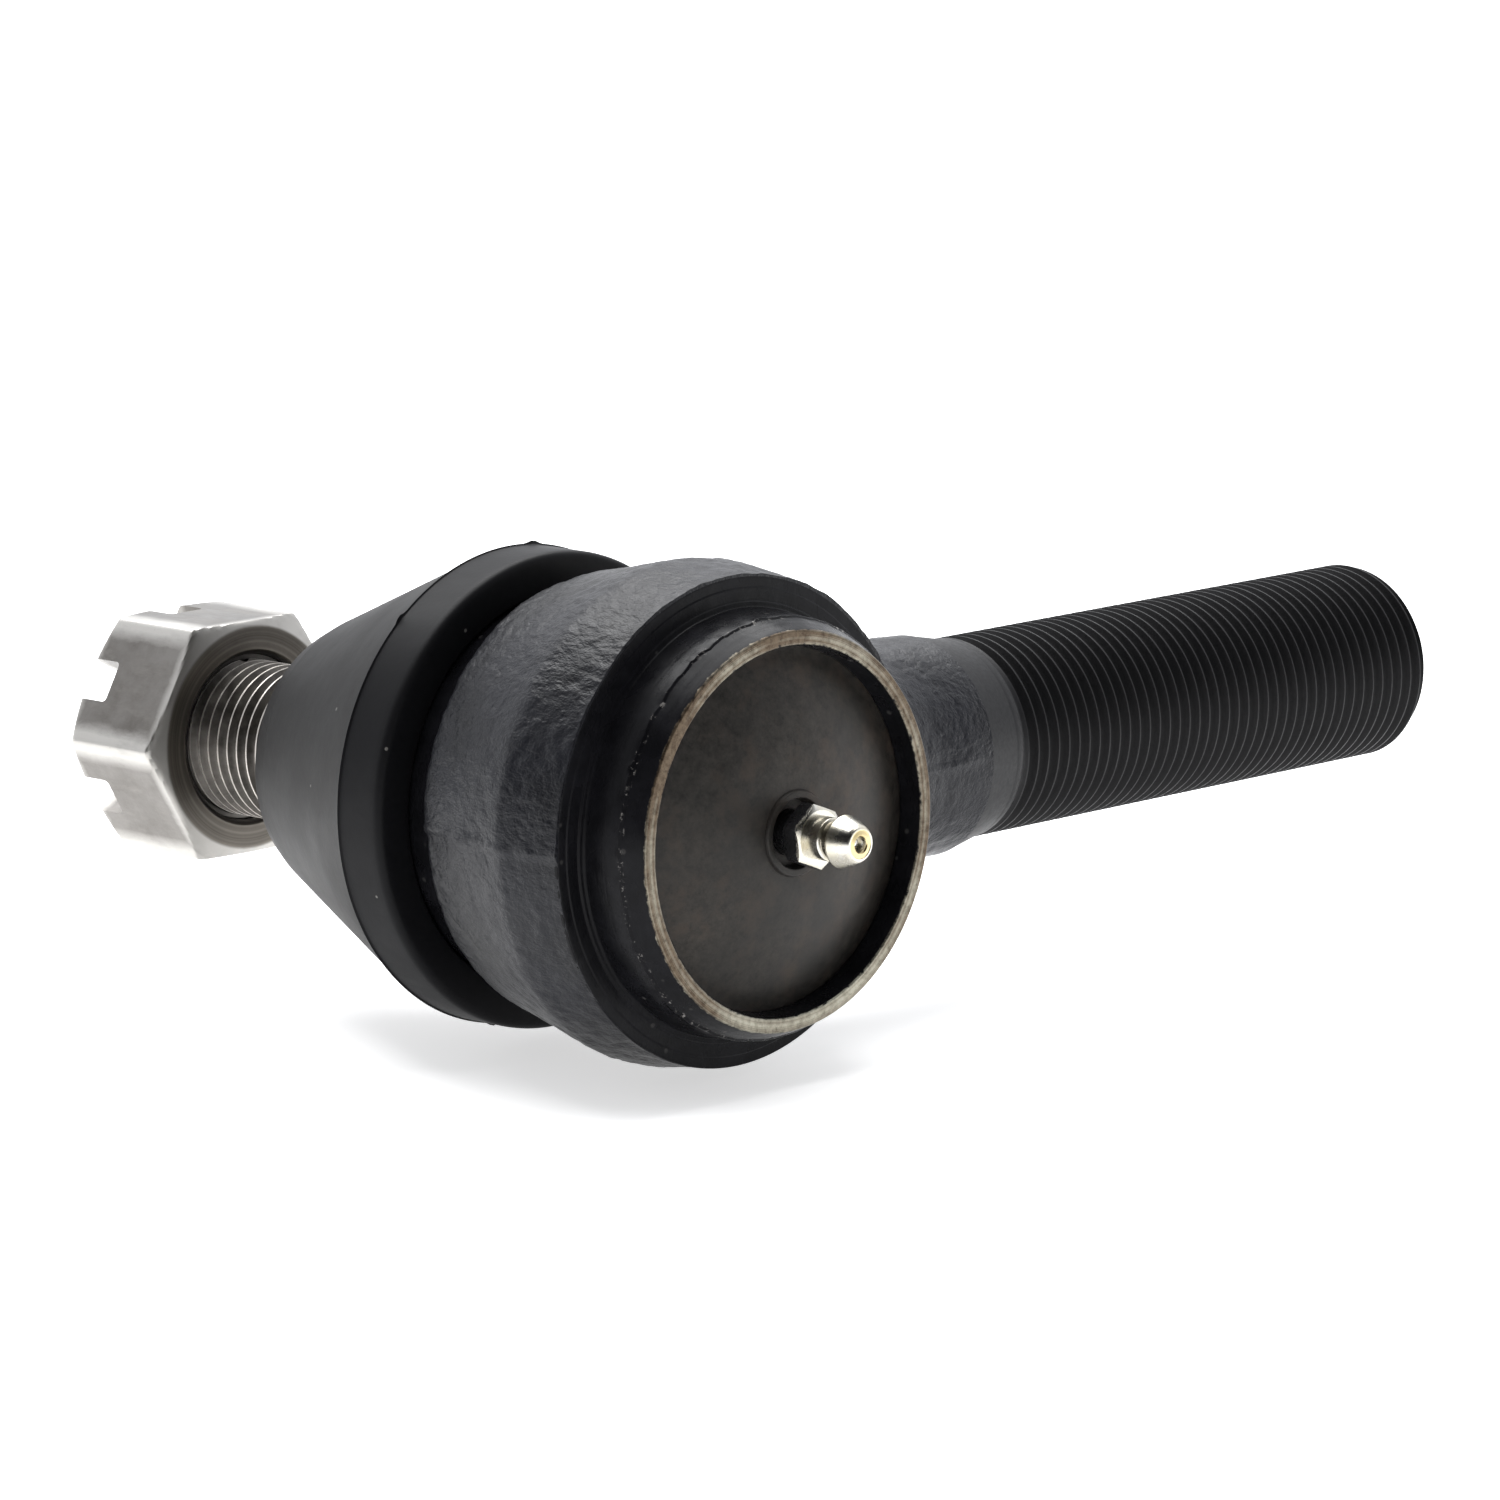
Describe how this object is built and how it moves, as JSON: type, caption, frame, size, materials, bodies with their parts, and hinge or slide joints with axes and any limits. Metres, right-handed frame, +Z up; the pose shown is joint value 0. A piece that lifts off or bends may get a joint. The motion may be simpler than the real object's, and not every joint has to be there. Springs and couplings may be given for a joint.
{
  "type": "tie rod end",
  "caption": "Steering tie rod end: forged socket with a threaded shank, swinging ball stud under a rubber boot, slotted hex nut and grease fitting.",
  "frame": {"origin": "centre of the ball, where the stud axis crosses the shank axis", "axes": "+X along the shank towards its threaded end, +Y along the stud towards its nut, +Z up with the part lying on its side"},
  "size_m": [0.187, 0.1394, 0.0692],
  "materials": {
    "socket_paint": "satin black paint on a rough forging, glossy on the machined face",
    "bearing_steel": "ground and hardened",
    "seat_polymer": "moulded acetal",
    "spring_steel": "oiled spring steel",
    "plug_steel": "thin dull grey-black paint",
    "fitting_plating": "bright yellowish zinc plating",
    "stud_steel": "dark phosphate with bright thread crests",
    "boot_rubber": "matt grey-black rubber",
    "nut_steel": "plain grey-brown steel"
  },
  "bodies": {
    "socket": {"socket_forging": "socket_paint", "upper_race": "bearing_steel", "lower_seat": "seat_polymer", "disc_spring": "spring_steel", "end_plug": "plug_steel", "grease_fitting_body": "fitting_plating", "fitting_spring": "spring_steel"},
    "check_ball": {"fitting_check_ball": "bearing_steel"},
    "swivel": {"dust_boot": "boot_rubber"},
    "tilt": {"half_ball": "bearing_steel"},
    "stud": {"ball_stud": "stud_steel"},
    "nut": {"slotted_nut": "nut_steel"}
  },
  "joints": [
    {"name": "swing_direction", "type": "hinge", "parent": "socket", "child": "swivel", "pos_m": [0, 0, 0], "axis": [0, 1, 0], "continuous": true},
    {"name": "stud_swing", "type": "hinge", "parent": "swivel", "child": "tilt", "pos_m": [0, 0, 0], "axis": [0, 0, 1], "range_deg": [-25, 25], "deforming": ["dust_boot"]},
    {"name": "stud_spin", "type": "hinge", "parent": "tilt", "child": "stud", "pos_m": [0, 0, 0], "axis": [0, 1, 0], "continuous": true},
    {"name": "nut_off", "type": "slide", "parent": "stud", "child": "nut", "axis": [0, 1, 0], "range_m": [-0.0133, 0.045]},
    {"name": "check_ball_travel", "type": "slide", "parent": "socket", "child": "check_ball", "axis": [0, 1, 0], "range_m": [0, 0.0012], "stiffness_N_per_m": 500, "springref_m": -0.001, "deforming": ["fitting_spring"]}
  ]
}
